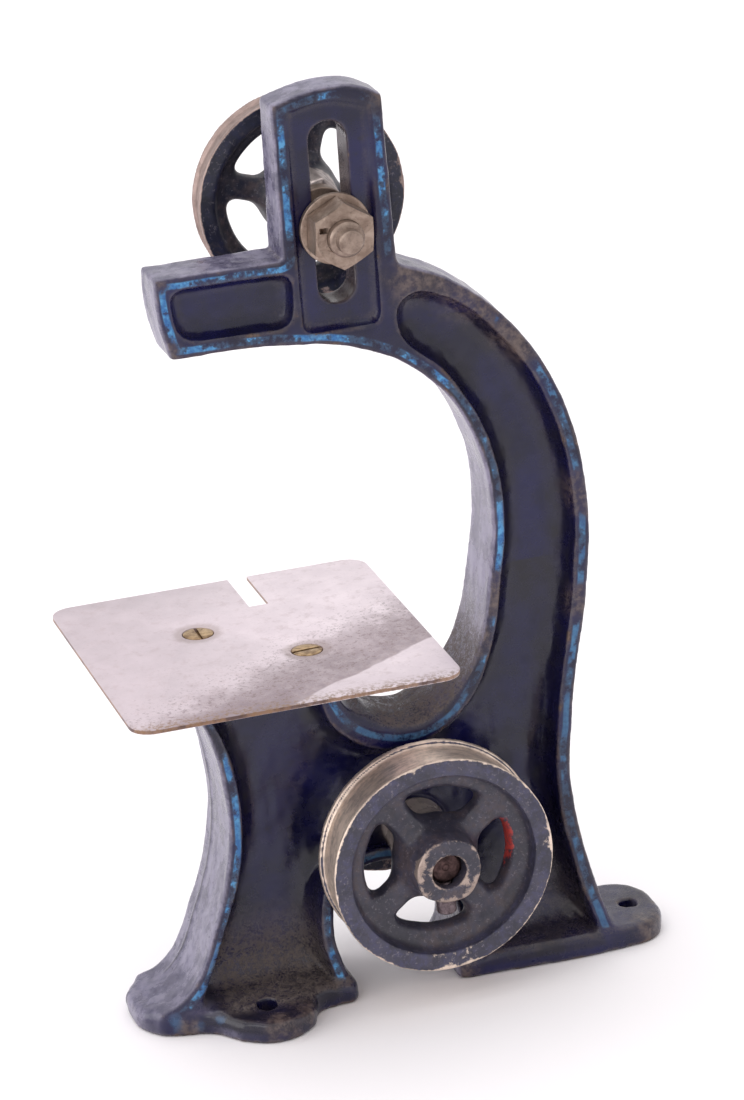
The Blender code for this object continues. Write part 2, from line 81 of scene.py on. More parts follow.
# ---- outlines: (a, b) bends smoothly, (a, b, r) is a corner rounded to r ----
SIDE_OUTLINE = [
    (-58.0, 1.0, 0.2), (-58.0, 5.2, 1.0), (-53.2, 7.3), (-49.0, 11.5),
    (-44.2, 22.5), (-40.6, 33.0), (-38.4, 46.0), (-38.8, 58.0), (-41.0, 69.0), (-45.0, 78.5),
    (-46.6, 83.7, 0.3), (-14.4, 83.7, 0.3), (-12.2, 77.5), (-7.6, 68.6),
    (3.6, 63.2), (12.4, 65.2), (18.6, 71.8), (23.0, 80.2), (26.2, 94.0), (28.2, 111.5),
    (25.8, 127.4), (18.0, 141.8), (3.0, 152.6), (-16.0, 156.9), (-42.1, 157.8, 1.4),
    (-44.2, 168.0), (-44.4, 176.2, 1.2), (-15.4, 176.1, 0.6),
    (-15.3, 210.4, 1.4), (-8.0, 212.4), (-1.5, 213.0), (4.5, 212.2), (9.7, 209.6, 1.6),
    (10.4, 171.6, 2.0), (22.4, 165.9), (35.9, 153.5), (46.0, 135.8), (50.8, 112.0),
    (49.3, 88.8), (44.6, 62.9), (42.9, 42.0), (46.3, 21.0), (50.6, 5.5, 0.5),
    (50.6, 1.0, 0.2), (13.0, 1.0, 0.2), (14.3, 12.0), (9.6, 26.0), (-2.0, 32.4),
    (-13.0, 28.4), (-15.9, 19.0), (-12.2, 1.0, 0.2),
]
COLUMN_POCKET = [
    (9.6, 157.2), (11.6, 163.6), (20.6, 162.4), (33.2, 151.0), (42.9, 134.2), (47.4, 112.0),
    (45.9, 89.2), (41.2, 63.2), (39.5, 42.0), (42.8, 21.0), (48.4, 2.0, 0.5),
    (17.0, 2.0, 0.5), (17.3, 13.5), (12.2, 28.4), (-2.4, 35.4), (-15.4, 30.6),
    (-18.9, 19.0), (-15.6, 2.0, 0.5), (-50.0, 2.0, 0.5), (-41.2, 23.5),
    (-37.5, 34.0), (-35.4, 46.0), (-35.8, 57.6), (-38.0, 67.8), (-42.0, 77.0, 1.5),
    (-16.2, 77.0, 1.5), (-10.8, 65.0), (4.4, 58.8), (19.2, 66.4), (25.6, 78.2),
    (29.0, 93.4), (31.0, 111.6), (28.4, 128.6), (20.4, 144.2),
]
ARM_POCKET = [
    (-40.0, 161.2, 5.0), (-14.0, 160.6, 4.0), (-13.2, 173.0, 4.0), (-41.6, 173.2, 4.0),
]
HEAD_CHANNEL = [
    (-12.0, 158.6, 3.0), (6.0, 158.6, 3.0), (6.2, 208.0, 2.0), (-2.6, 210.2),
    (-12.2, 208.8, 2.0),
]
# near halves of the feet's plans, up to the middle plane
FRONT_FOOT = [
    (-11.8, -11.0, 1.0), (-13.0, -13.2, 1.5), (-21.5, -14.8), (-25.6, -21.6), (-33.6, -25.3),
    (-41.0, -22.4), (-47.6, -15.0), (-56.0, -12.2), (-61.0, -7.5), (-62.4, 0.0),
]
REAR_FOOT = [(13.0, -12.4, 1.5), (54.5, -12.9), (60.6, -11.3), (64.2, -6.2), (65.0, 0.0)]
# worn and painted spots on the casting's near face: x, y, z, radius
RUBBED = (
    (16, -8, 168, 9), (27, -8, 161, 9), (37, -8, 151, 8), (24.5, -8, 92, 7), (22, -8, 82, 5),
    (8.5, -8, 208, 4), (-14, -8, 209, 3), (-43, -8, 175, 3), (-43.5, -8, 160, 4),
    (50, -8, 112, 6), (48.5, -8, 86, 5), (-33, -24, 3, 5), (-27, -20, 4, 4),
    (-52, -13, 2, 3), (60, -10, 3, 5), (14, -11, 3, 4),
)
BLUE_DABS = ((-55, -12, 3.5, 2.5), (-50, -14, 2.5, 2.2), (-46, -16.5, 4, 2.0))

FINE = 0.5           # sampling pitch of the frame casting
WHEEL_FINE = 0.36


# ---- outlines and distances ----
def ring_through(points, steps=8):
    """Closed ring of points that bends through the smooth ones and rounds the corners."""
    knots = np.array([p[:2] for p in points], float)
    count = len(points)
    away = np.roll(knots, -1, 0) - knots
    unit = away / np.linalg.norm(away, axis=1)[:, None]
    tangent = unit + np.roll(unit, 1, 0)
    tangent /= np.linalg.norm(tangent, axis=1)[:, None]
    ring, corners = [], []
    for i in range(count):
        j = (i + 1) % count
        a, b, span = knots[i], knots[j], np.linalg.norm(away[i])
        lead = unit[i] / 3 if len(points[i]) == 3 else tangent[i] * 0.38
        trail = unit[i] / 3 if len(points[j]) == 3 else tangent[j] * 0.38
        if len(points[i]) == 3:
            corners.append((len(ring), points[i][2]))
        straight = len(points[i]) == 3 and len(points[j]) == 3
        for step in range(1 if straight else steps):
            t = step / steps
            p, q = a + lead * span, b - trail * span
            ring.append(a * (1 - t) ** 3 + 3 * p * t * (1 - t) ** 2 + 3 * q * t * t * (1 - t)
                        + b * t ** 3)
    return round_corners(np.array(ring), dict(corners))


def mirrored(half):
    """Close half an outline with its mirror image in y."""
    return half + [(x, -y, *radius) for x, y, *radius in reversed(half) if y]


def round_corners(ring, corners):
    """Replace each marked corner of a ring with a small arc."""
    step = np.linalg.norm(np.roll(ring, -1, 0) - ring, axis=1)
    result = []
    for i, point in enumerate(ring):
        radius = corners.get(i)
        if radius is None:
            result.append(point)
            continue
        before, after = ring[i - 1], ring[(i + 1) % len(ring)]
        reach_back = min(radius, step[i - 1] * 0.48)
        reach_on = min(radius, step[i] * 0.48)
        a = point + (before - point) / step[i - 1] * reach_back
        b = point + (after - point) / step[i] * reach_on
        for t in (0.0, 0.25, 0.5, 0.75, 1.0):
            result.append(a * (1 - t) ** 2 + 2 * point * t * (1 - t) + b * t * t)
    return np.array(result)


def ring_distance(px, py, ring):
    """Signed distance from points to a closed ring, negative inside."""
    px, py = px.astype(np.float32), py.astype(np.float32)
    nearest = np.full(px.shape, 1e9, np.float32)
    inside = np.zeros(px.shape, bool)
    ring = np.asarray(ring, np.float32)
    for (ax, ay), (bx, by) in zip(ring, np.roll(ring, -1, 0)):
        ex, ey = bx - ax, by - ay
        length = ex * ex + ey * ey
        if length < 1e-10:
            continue
        wx, wy = px - ax, py - ay
        t = np.clip((wx * ex + wy * ey) / length, 0, 1)
        np.minimum(nearest, (wx - ex * t) ** 2 + (wy - ey * t) ** 2, out=nearest)
        if ey:
            inside ^= ((ay > py) != (by > py)) & (px < ex * (py - ay) / ey + ax)
    return np.where(inside, -1, 1).astype(np.float32) * np.sqrt(nearest)


def prism(side, across, rounding):
    """Overlap of two distances with a rounded edge between them."""
    a, b = side + rounding, across + rounding
    return (np.minimum(np.maximum(a, b), 0)
            + np.hypot(np.maximum(a, 0), np.maximum(b, 0)) - rounding)


def unite(a, b, blend):
    h = np.maximum(blend - np.abs(a - b), 0) / blend
    return np.minimum(a, b) - h * h * blend * 0.25


def remove(a, b, blend):
    return -unite(-a, b, blend)


def smoothstep(value, low, high):
    t = np.clip((value - low) / (high - low), 0, 1)
    return t * t * (3 - 2 * t)


# ---- meshing a sampled field ----
def net(field, origin, pitch):
    """Vertices and quads of the field's zero level, one vertex in each crossed cell."""
    solid = field < 0
    corners = np.zeros(tuple(n - 1 for n in field.shape), np.uint8)
    offsets = [(i, j, k) for i in (0, 1) for j in (0, 1) for k in (0, 1)]
    shape = corners.shape

    def shifted(array, offset):
        return array[tuple(slice(o, o + n) for o, n in zip(offset, shape))]

    for offset in offsets:
        corners += shifted(solid, offset)
    cells = np.argwhere((corners > 0) & (corners < 8))
    index = np.full(shape, -1, np.int32)
    index[tuple(cells.T)] = np.arange(len(cells), dtype=np.int32)
    total = np.zeros((len(cells), 3))
    hits = np.zeros(len(cells))
    step = np.eye(3, dtype=int)
    for axis in range(3):
        for offset in offsets:
            if offset[axis]:
                continue
            start = cells + offset
            a, b = field[tuple(start.T)], field[tuple((start + step[axis]).T)]
            crossed = (a < 0) != (b < 0)
            t = a[crossed] / (a[crossed] - b[crossed])
            total[crossed] += np.array(offset) + t[:, None] * step[axis]
            hits[crossed] += 1
    verts = (cells + total / hits[:, None]) * pitch + np.array(origin)
    quads = []
    for axis in range(3):
        u, v = (axis + 1) % 3, (axis + 2) % 3
        inner = [slice(1, -1)] * 3
        inner[axis] = slice(0, -1)
        ahead = list(inner)
        ahead[axis] = slice(1, None)
        a, b = solid[tuple(inner)], solid[tuple(ahead)]
        for starts in (True, False):
            found = np.argwhere(a & ~b if starts else ~a & b)
            found[:, u] += 1
            found[:, v] += 1
            square = [found - step[u] - step[v], found - step[v], found, found - step[u]]
            if not starts:
                square.reverse()
            quads.append(np.stack([index[tuple(s.T)] for s in square], 1))
    return verts, np.concatenate(quads)


def relax(verts, quads, rounds=2):
    """Even out the sampling steps without shrinking the shape."""
    ends = np.concatenate([quads[:, [i, (i + 1) % 4]] for i in range(4)])
    ends = np.concatenate([ends, ends[:, ::-1]])
    degree = np.bincount(ends[:, 0], minlength=len(verts))[:, None]
    for _ in range(rounds):
        for weight in (0.5, -0.52):
            mean = around(verts, ends, degree)
            verts = verts + (mean - verts) * weight
    return verts, ends, degree


def around(values, ends, degree):
    """Mean of each vertex's neighbours."""
    values = values.reshape(len(values), -1)
    columns = [np.bincount(ends[:, 0], values[ends[:, 1], c], len(values))
               for c in range(values.shape[1])]
    return np.stack(columns, 1) / degree


def normals_of(verts, quads):
    a, b, c, d = (verts[quads[:, i]] for i in range(4))
    face = np.cross(c - a, d - b)
    total = np.zeros_like(verts)
    for i in range(4):
        for c in range(3):
            total[:, c] += np.bincount(quads[:, i], face[:, c], len(verts))
    return total / (np.linalg.norm(total, axis=1)[:, None] + 1e-12)


def bend_of(verts, normals, ends, degree, rounds=2):
    """How each vertex stands out of its surroundings: positive on edges, negative in corners."""
    bend = ((verts - around(verts, ends, degree)) * normals).sum(1)
    for _ in range(rounds):
        bend = 0.4 * bend + 0.6 * around(bend, ends, degree)[:, 0]
    return bend


def waviness(verts, size, seed, waves=28):
    """Smooth unevenness between about -1 and 1, of roughly the given wavelength."""
    rng = np.random.default_rng(seed)
    total = np.zeros(len(verts))
    for _ in range(waves):
        direction = rng.normal(size=3)
        direction /= np.linalg.norm(direction)
        length = size * rng.uniform(0.6, 1.8)
        total += np.sin(verts @ direction * (2 * math.pi / length) + rng.uniform(0, 2 * math.pi))
    return total / math.sqrt(waves)


def place(name, data):
    obj = bpy.data.objects.new(name, data)
    bpy.context.scene.collection.objects.link(obj)
    return obj


def mesh_object(name, verts, faces, attributes=None):
    """Object from millimetre vertices, with any per-vertex numbers its material reads."""
    mesh = bpy.data.meshes.new(name)
    mesh.vertices.add(len(verts))
    mesh.vertices.foreach_set("co", (np.asarray(verts) * MM).astype(np.float32).ravel())
    sides = faces.shape[1]
    mesh.loops.add(len(faces) * sides)
    mesh.loops.foreach_set("vertex_index", faces.astype(np.int32).ravel())
    mesh.polygons.add(len(faces))
    mesh.polygons.foreach_set("loop_start", np.arange(len(faces), dtype=np.int32) * sides)
    mesh.polygons.foreach_set("use_smooth", np.ones(len(faces), bool))
    mesh.update(calc_edges=True)
    for key, values in (attributes or {}).items():
        attribute = mesh.attributes.new(key, "FLOAT", "POINT")
        attribute.data.foreach_set("value", np.asarray(values, np.float32))
    return place(name, mesh)


def sample_grid(low, high, pitch):
    """Axes of a sampling grid that covers a box, millimetres."""
    return [np.arange(a, b + pitch, pitch, dtype=np.float32) for a, b in zip(low, high)]


def look_up(table, axes, a, b):
    """Bilinear reading of a table sampled on two axes."""
    pitch = axes[0][1] - axes[0][0]
    i = np.clip((a - axes[0][0]) / pitch, 0, len(axes[0]) - 1.001)
    j = np.clip((b - axes[1][0]) / pitch, 0, len(axes[1]) - 1.001)
    i0, j0 = i.astype(int), j.astype(int)
    u, v = i - i0, j - j0
    return ((table[i0, j0] * (1 - u) + table[i0 + 1, j0] * u) * (1 - v)
            + (table[i0, j0 + 1] * (1 - u) + table[i0 + 1, j0 + 1] * u) * v)


# ---- frame casting ----
def half_depth(z):
    """Half of the casting's thickness, which tapers upwards."""
    return BASE_HALF_DEPTH - DEPTH_TAPER * z


def pocket_cut(field, side, thickness, y, web, corner, draft):
    """Sink a soft-bottomed pocket into both faces, down to a web."""
    return remove(field, prism(side + draft * (thickness - y), web - y, corner), 0.5)


def casting_field(xs, ys, zs):
    """Distance field of the whole casting, and the plan distances its colours need."""
    gx, gz = np.meshgrid(xs, zs, indexing="ij")
    outer, column, arm, channel = (
        ring_distance(gx, gz, ring_through(outline))
        for outline in (SIDE_OUTLINE, COLUMN_POCKET, ARM_POCKET, HEAD_CHANNEL))

    y = np.abs(ys)[None, :, None]
    z = zs[None, None, :]
    x = xs[:, None, None]
    thickness = half_depth(z)
    crown = smoothstep(x, -12.0, -4.0) * smoothstep(x, 21.0, 13.0) * (z < 78) * (z > 54)
    crown = THROAT_CROWN * crown * np.clip(1 - ((y - 2.0) / 8.0) ** 2, 0, 1)
    body = prism(outer[:, None, :] - crown, y - thickness, 0.9)
    body = pocket_cut(body, column[:, None, :], thickness, y, COLUMN_WEB, 4.4, 0.16)
    body = pocket_cut(body, arm[:, None, :], thickness, y, ARM_WEB, 2.2, 0.22)
    body = pocket_cut(body, channel[:, None, :], thickness, y,
                      HEAD_WEB + 1.1 * smoothstep(z, 160.4, 157.6), 1.2, 0.25)

    px, py = np.meshgrid(xs, ys, indexing="ij")
    feet = np.minimum(*(ring_distance(px, py, ring_through(mirrored(half)))
                        for half in (FRONT_FOOT, REAR_FOOT)))
    slab = prism(feet[:, :, None], np.maximum(z - FOOT_THICKNESS, -2 - z), 2.0)
    spread = 2.4 + 5.6 * smoothstep(-column, 0.5, 4.0)[:, None, :]
    low = z[0, 0] < 40
    body[:, :, low] = unite(body[:, :, low], slab[:, :, low], spread[:, :, low])

    pad_sides = np.maximum(np.abs(x - PAD_X) - PAD_HALF[0], y - PAD_HALF[1])
    body = unite(body, prism(pad_sides, np.abs(z - PAD_Z) - PAD_HALF[2], 1.2), 1.6)
    boss_r = np.hypot(x - SHAFT_X, z - SHAFT_Z)
    body = unite(body, prism(boss_r - BOSS_R, y - BOSS_HALF_LENGTH, 0.5), 1.6)

    # the slot is a little roomier than the frame's, so the uneven walls clear the stud
    slot_z = np.abs(z - (SLOT_LOW + SLOT_HIGH) / 2) - (SLOT_HIGH - SLOT_LOW) / 2 - 0.2
    slot = np.hypot(x - STUD_X, np.maximum(slot_z + SLOT_HALF_WIDTH, 0)) - SLOT_HALF_WIDTH - 0.1
    body = remove(body, slot, 0.5)
    body = remove(body, boss_r - SHAFT_BORE_R, 0.3)
    for centres, radius, end, blend in ((SCREW_HOLES, SCREW_HOLE_R, z - 12.0, 0.6),
                                        (TABLE_SCREWS, TABLE_HOLE_R, 70.0 - z, 0.3)):
        for hole_x, hole_y in centres:
            hole = np.hypot(x - hole_x, ys[None, :, None] - hole_y) - radius
            body = remove(body, np.maximum(hole, end), blend)
    return np.maximum(body, -z), outer, np.minimum(np.minimum(column, arm), channel)


def spots(verts, centres):
    """Soft blobs of height 1 at each (x, y, z, radius)."""
    total = np.zeros(len(verts))
    for x, y, z, radius in centres:
        away = (verts - (x, y, z)) / radius
        total = np.maximum(total, np.exp(-(away ** 2).sum(1)))
    return total


def make_casting():
    low, high = (-64.0, -27.0, -1.0), (66.5, 27.0, 214.5)
    xs, ys, zs = sample_grid(low, high, FINE)
    field, outer, pocket = casting_field(xs, ys, zs)
    verts, quads = net(field, (xs[0], ys[0], zs[0]), FINE)
    del field
    verts, ends, degree = relax(verts, quads)
    normals = normals_of(verts, quads)
    bend = bend_of(verts, normals, ends, degree)

    # the sand mould leaves the faces a little uneven, and a seam on the front of the front leg
    ground = smoothstep(verts[:, 2], 0.3, 2.5)
    lift = 0.07 * waviness(verts, 9.0, 3) + 0.035 * waviness(verts, 3.0, 5)
    facing = smoothstep(-normals[:, 0], 0.4, 0.7) * (verts[:, 0] < -30) * (verts[:, 2] < 84)
    seam = facing * np.exp(-((verts[:, 1] - 5.0) / 0.55) ** 2)
    channel = (np.abs(verts[:, 0] - STUD_X) < 9.2) & (verts[:, 2] > 158)
    lift = np.where(channel, 0.25 * lift, lift)
    verts += normals * ((lift + 0.30 * seam) * ground)[:, None]
    verts[:, 2] = np.clip(verts[:, 2], 0.0, CAD_BOX[1][2] / MM)
    verts[:, 0] = np.clip(verts[:, 0], FRONT_FOOT[-1][0], CAD_BOX[1][0] / MM)

    axes = (xs, zs)
    rim = -look_up(outer, axes, verts[:, 0], verts[:, 2])
    land = look_up(pocket, axes, verts[:, 0], verts[:, 2])
    face = smoothstep(np.abs(verts[:, 1]) - half_depth(verts[:, 2]), -0.75, -0.25)
    face *= smoothstep(np.abs(normals[:, 1]), 0.55, 0.85) * (verts[:, 2] > 5.5)
    x, y, z = verts.T
    boss = smoothstep(np.hypot(x - SHAFT_X, z - SHAFT_Z), 8.4, 7.7) * (np.abs(y) > 3.0)
    slot_side = smoothstep(np.abs(x - STUD_X), 5.2, 4.5) * (z > SLOT_LOW - 1)
    slot_side *= smoothstep(np.abs(normals[:, 1]), 0.9, 0.5) * (z < SLOT_HIGH + 1)
    low_web = smoothstep(z, 27.0, 9.0) * smoothstep(land, 1.5, -1.5) * (np.abs(y) < 11)
    low_web = np.maximum(low_web, smoothstep(z, 12.0, 6.0) * smoothstep(np.abs(y), 19.5, 15.0)
                         * smoothstep(normals[:, 2], 0.3, 0.8))
    low_web *= smoothstep(x, -8.0, -13.0) * smoothstep(x, -47.0, -40.0) + 0.35 * (x > 13)
    # painted sheen: faces turned left or upwards near the rims, and the foot's left end, get a
    # lighter tint where the lamps catch them; faces turned to the front get less
    painted_sheen = smoothstep(-normals[:, 0], 0.25, 0.8) * smoothstep(rim, 1.8, 0.8)
    on_top = smoothstep(normals[:, 2], 0.35, 0.85) * smoothstep(rim, 1.8, 0.8) * (z > 100)
    foot = 0.85 * smoothstep(x, -44.0, -50.0) * smoothstep(z, 3.0, 5.0)
    near_side = 1 - 0.85 * smoothstep(-normals[:, 1], 0.35, 0.75)
    painted_sheen = np.maximum(painted_sheen, on_top)
    painted_sheen = np.where(z < 12, np.maximum(np.minimum(painted_sheen, 0.95), foot) * near_side, painted_sheen)
    painted_sheen = np.where((x > 15) & (z > 80) & (z < 150), painted_sheen * 1.8, painted_sheen)
    throat = smoothstep(-normals[:, 0] * 0.55 + normals[:, 2], 0.2, 0.75) * (rim < 1.2)
    throat *= smoothstep(z, 96.0, 74.0) * (z > 55) * (x > -14)
    # painted shade: pocket floors below the table and the pocket walls are darkened
    below = np.where(x < -14, 84.0, 96.0)
    shade = smoothstep(land, 0.5, -3.5) * smoothstep(z, below - 24, below - 2) * (z < below)
    wall = smoothstep(land, 0.4, -0.8) * smoothstep(land, -7.0, -2.5) * (z < 157)
    shade = np.maximum(shade, 0.8 * wall)
    shape = {
        "rim": rim, "face": face, "seam": seam,
        "wear": np.clip(bend / FINE * 4.5, 0, 1), "hollow": np.clip(-bend / FINE * 6, 0, 1),
        "raw": np.maximum(boss, slot_side * 0.4), "shade": shade, "haze": painted_sheen,
        "rub": spots(verts, RUBBED), "dab": spots(verts, BLUE_DABS),
        "dust": np.clip(np.maximum(low_web, throat), 0, 1),
    }
    return mesh_object("saw_frame", verts, quads, shape)


# ---- cast wheels ----
def windows(x, z, inner, outer, spoke, first):
    """Plan distance to the four soft-cornered windows between a wheel's spokes."""
    turn = math.radians(first)
    along = np.abs(x * math.cos(turn) + z * math.sin(turn))
    across = np.abs(z * math.cos(turn) - x * math.sin(turn))
    radius = np.hypot(x, z)
    ring = -unite(outer - radius, radius - inner, 2.0)
    return -unite(-ring, np.minimum(along, across) - spoke / 2, 3.0)


def make_wheel(name, centre, radius, rim, groove, web, hub, bore, holes, screw_hole=None):
    """Cast spoked wheel.

    rim and hub are (radius, near, far), groove is (depth, flange width), web is (middle, half
    thickness), holes are the arguments of windows, screw_hole is (distance along Y, radius).
    """
    near, far = min(rim[1], hub[1]), max(rim[2], hub[2])
    xs, ys, zs = sample_grid((-radius - 0.9, near - 0.9, -radius - 0.9),
                             (radius + 0.9, far + 0.9, radius + 0.9), WHEEL_FINE)
    x, y, z = xs[:, None, None], ys[None, :, None], zs[None, None, :]
    r = np.hypot(x, z)
    middle = (rim[1] + rim[2]) / 2
    tyre = prism(r - radius, np.abs(y - middle) - (rim[2] - rim[1]) / 2, 0.35)
    tyre = remove(tyre, r - rim[0], 0.6)
    channel = prism(radius - groove[0] - r, np.abs(y - middle) - (rim[2] - rim[1]) / 2
                    + groove[1], 0.7)
    tyre = remove(tyre, channel, 0.5)
    disc = prism(r - rim[0] - 1.0, np.abs(y - web[0]) - web[1], 0.4)
    boss = prism(r - hub[0], np.abs(y - (hub[1] + hub[2]) / 2) - (hub[2] - hub[1]) / 2, 0.6)
    field = unite(unite(tyre, disc, 3.2), boss, 5.0)
    field = remove(field, windows(x, z, *holes) + 0.2 * (y - web[0]), 1.4)
    field = remove(field, r - bore, 0.35)
    if screw_hole:
        hole = np.hypot(x, y - screw_hole[0]) - screw_hole[1]
        field = remove(field, np.maximum(np.maximum(hole, z), -z - hub[0] - 3.5), 0.3)
    verts, quads = net(field, (xs[0], ys[0], zs[0]), WHEEL_FINE)
    verts, ends, degree = relax(verts, quads)
    normals = normals_of(verts, quads)
    bend = bend_of(verts, normals, ends, degree)
    reach = np.hypot(verts[:, 0], verts[:, 2])
    lift = 0.05 * waviness(verts, 6.0, 11) * smoothstep(np.abs(reach - bore), 0.2, 1.2)
    verts += normals * lift[:, None]
    reach = np.hypot(verts[:, 0], verts[:, 2])
    verts[:, ::2] /= np.maximum(reach / radius, 1.0)[:, None]
    verts[:, 1] = np.clip(verts[:, 1], near, far)
    outward = (normals[:, 0] * verts[:, 0] + normals[:, 2] * verts[:, 2]) / reach
    tread = smoothstep(reach, radius - 2.0, radius - 1.4) * smoothstep(outward, 0.25, 0.6)
    rim_spots = ((-91, 3.4), (-80, 2.6), (2, 2.0), (12, 1.4), (104, 1.6))
    hub_spots = ((-40, 3.0), (-95, 2.4), (165, 3.0))
    bare = [(out * math.cos(math.radians(a)), y, out * math.sin(math.radians(a)), r)
            for out, y, marks in ((radius * 0.96, rim[1], rim_spots), (hub[0], hub[1], hub_spots))
            for a, r in marks]
    shape = {"patch": spots(verts, bare), "band": smoothstep(reach, rim[0] - 0.6, rim[0] + 0.2),
             "wear": np.clip(bend / WHEEL_FINE * 6, 0, 1),
             "hollow": np.clip(-bend / WHEEL_FINE * 6, 0, 1), "tread": tread,
             "lip": smoothstep(reach, radius - 1.0, radius - 0.2),
             "hub": smoothstep(reach, hub[0] + 0.6, hub[0] - 0.2)}
    return mesh_object(name, verts + np.array((centre[0], 0.0, centre[1])), quads, shape)


# ---- turned and sheet pieces ----
def bmesh_object(name, work):
    mesh = bpy.data.meshes.new(name)
    work.to_mesh(mesh)
    work.free()
    return place(name, mesh)


def lathe(name, profile, centre, steps=96, upright=False):
    """Spin a profile of (radius, distance along the axis) about Y, or about Z when upright.

    The profile starts and ends on the axis, or closes on itself.
    """
    work = bmesh.new()
    ring = [work.verts.new((r * MM, 0.0, y * MM)) for r, y in profile]
    closed = profile[0][0] > 0
    pairs = list(zip(ring, ring[1:] + ring[:1]))
    edges = [work.edges.new(pair) for pair in (pairs if closed else pairs[:-1])]
    bmesh.ops.spin(work, geom=ring + edges, cent=(0, 0, 0), axis=(0, 0, 1), dvec=(0, 0, 0),
                   angle=2 * math.pi, steps=steps, use_merge=True)
    bmesh.ops.remove_doubles(work, verts=work.verts, dist=1e-6)
    if not upright:
        turn = Matrix.Rotation(-math.pi / 2, 3, "X")
        bmesh.ops.rotate(work, cent=(0, 0, 0), matrix=turn, verts=work.verts)
    bmesh.ops.translate(work, vec=Vector(centre) * MM, verts=work.verts)
    bmesh.ops.recalc_face_normals(work, faces=work.faces)
    return bmesh_object(name, work)


def slab(name, low, high, turn=0.0):
    """Box cutter between two corners, turned about Z at its middle."""
    work = bmesh.new()
    bmesh.ops.create_cube(work, size=1.0)
    size = [(b - a) * MM for a, b in zip(low, high)]
    bmesh.ops.scale(work, vec=size, verts=work.verts)
    bmesh.ops.rotate(work, cent=(0, 0, 0), matrix=Matrix.Rotation(turn, 3, "Z"),
                     verts=work.verts)
    middle = [(a + b) / 2 * MM for a, b in zip(low, high)]
    bmesh.ops.translate(work, vec=middle, verts=work.verts)
    return bmesh_object(name, work)


def extruded(name, ring, low, high):
    """Flat plate from a plan outline."""
    work = bmesh.new()
    base = [work.verts.new((x * MM, y * MM, low * MM)) for x, y in ring]
    face = work.faces.new(base)
    raised = bmesh.ops.extrude_face_region(work, geom=[face])["geom"]
    bmesh.ops.translate(work, vec=(0, 0, (high - low) * MM),
                        verts=[v for v in raised if isinstance(v, bmesh.types.BMVert)])
    bmesh.ops.recalc_face_normals(work, faces=work.faces)
    return bmesh_object(name, work)


def carve(obj, *cutters):
    """Cut other objects out of one and remove them."""
    for cutter in cutters:
        step = obj.modifiers.new("cut", "BOOLEAN")
        step.operation, step.solver, step.object = "DIFFERENCE", "EXACT", cutter
    set_mesh(obj)
    for cutter in cutters:
        bpy.data.objects.remove(cutter)
    return obj


def set_mesh(obj):
    """Bake an object's modifiers into its mesh."""
    bpy.context.view_layer.update()
    graph = bpy.context.evaluated_depsgraph_get()
    mesh = bpy.data.meshes.new_from_object(obj.evaluated_get(graph))
    obj.modifiers.clear()
    obj.data = mesh


def soften(obj, width, segments=2, angle=30.0):
    """Round the hard edges and shade the rest smooth."""
    edge = obj.modifiers.new("soft_edges", "BEVEL")
    edge.width, edge.segments = width * MM, segments
    edge.limit_method, edge.angle_limit = "ANGLE", math.radians(angle)
    set_mesh(obj)
    obj.data.set_sharp_from_angle(angle=math.radians(42.0))
    return obj


def dress(obj, paint, body, node):
    """Give a piece its material, its body and the frame node it stands for."""
    obj.data.materials.clear()
    obj.data.materials.append(paint)
    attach(obj, body)
    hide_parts(node)


def make_table():
    half_x, half_y = TABLE_LENGTH / 2, TABLE_DEPTH / 2
    slot_low, slot_high = TABLE_SLOT_X - TABLE_SLOT_WIDTH / 2, TABLE_SLOT_X + TABLE_SLOT_WIDTH / 2
    slot_end = half_y - TABLE_SLOT_LENGTH
    ring = []
    for sx, sy, start in ((1, 1, 0), (-1, 1, 90), (-1, -1, 180), (1, -1, 270)):
        for step in range(13):
            angle = math.radians(start + step * 7.5)
            ring.append((TABLE_X + sx * (half_x - TABLE_CORNER) + TABLE_CORNER * math.cos(angle),
                         sy * (half_y - TABLE_CORNER) + TABLE_CORNER * math.sin(angle)))
        if (sx, sy) == (1, 1):
            ring += [(slot_high, half_y), (slot_high, slot_end), (slot_low, slot_end),
                     (slot_low, half_y)]
    plate = extruded("saw_table", ring, TABLE_TOP - TABLE_THICKNESS, TABLE_TOP)
    for x, y in TABLE_SCREWS:
        carve(plate, lathe("sink", [(0.0, 1.0), (4.75, 1.0), (1.8, -1.95), (1.8, -4.0),
                                    (0.0, -4.0)], (x, y, TABLE_TOP), 64, upright=True))
    return soften(plate, 0.22)


def make_table_screw(name, x, y, turn):
    profile = [(0.0, 0.1), (2.9, 0.08), (3.42, -0.05), (3.42, -0.2), (1.5, -2.0),
               (1.5, -6.3), (0.0, -6.3)]
    screw = lathe(name, profile, (x, y, TABLE_TOP), 72, upright=True)
    carve(screw, slab("slot", (x - 4.5, y - 0.36, TABLE_TOP - 0.75),
                      (x + 4.5, y + 0.36, TABLE_TOP + 1), turn))
    return soften(screw, 0.07)


def make_nut():
    across = 6.5 / math.cos(math.pi / 6)
    ring = [(across * math.sin(math.radians(a + 3)), across * math.cos(math.radians(a + 3)))
            for a in range(0, 360, 60)]
    nut = extruded("top_nut", ring, 6.2, 12.7)
    nut.data.transform(Matrix.Rotation(math.pi / 2, 4, "X"))
    nut.data.transform(Matrix.Translation((STUD_X * MM, 0, STUD_Z * MM)))
    centre = (STUD_X, 0.0, STUD_Z)
    carve(nut, lathe("thread_hole", [(0.0, -20.0), (4.08, -20.0), (4.08, 0.0), (0.0, 0.0)], centre),
          lathe("chamfer", [(20.0, 0.0), (20.0, -16.0), (6.3, -16.0), (6.3, -12.7),
                            (7.0, -12.35), (9.5, -11.0), (9.5, 0.0)], centre, 128),
          slab("nick", (STUD_X - 5.6, -13.5, STUD_Z + 1.5), (STUD_X - 4.0, -11.5, STUD_Z + 2.8),
               0.6))
    return soften(nut, 0.22)


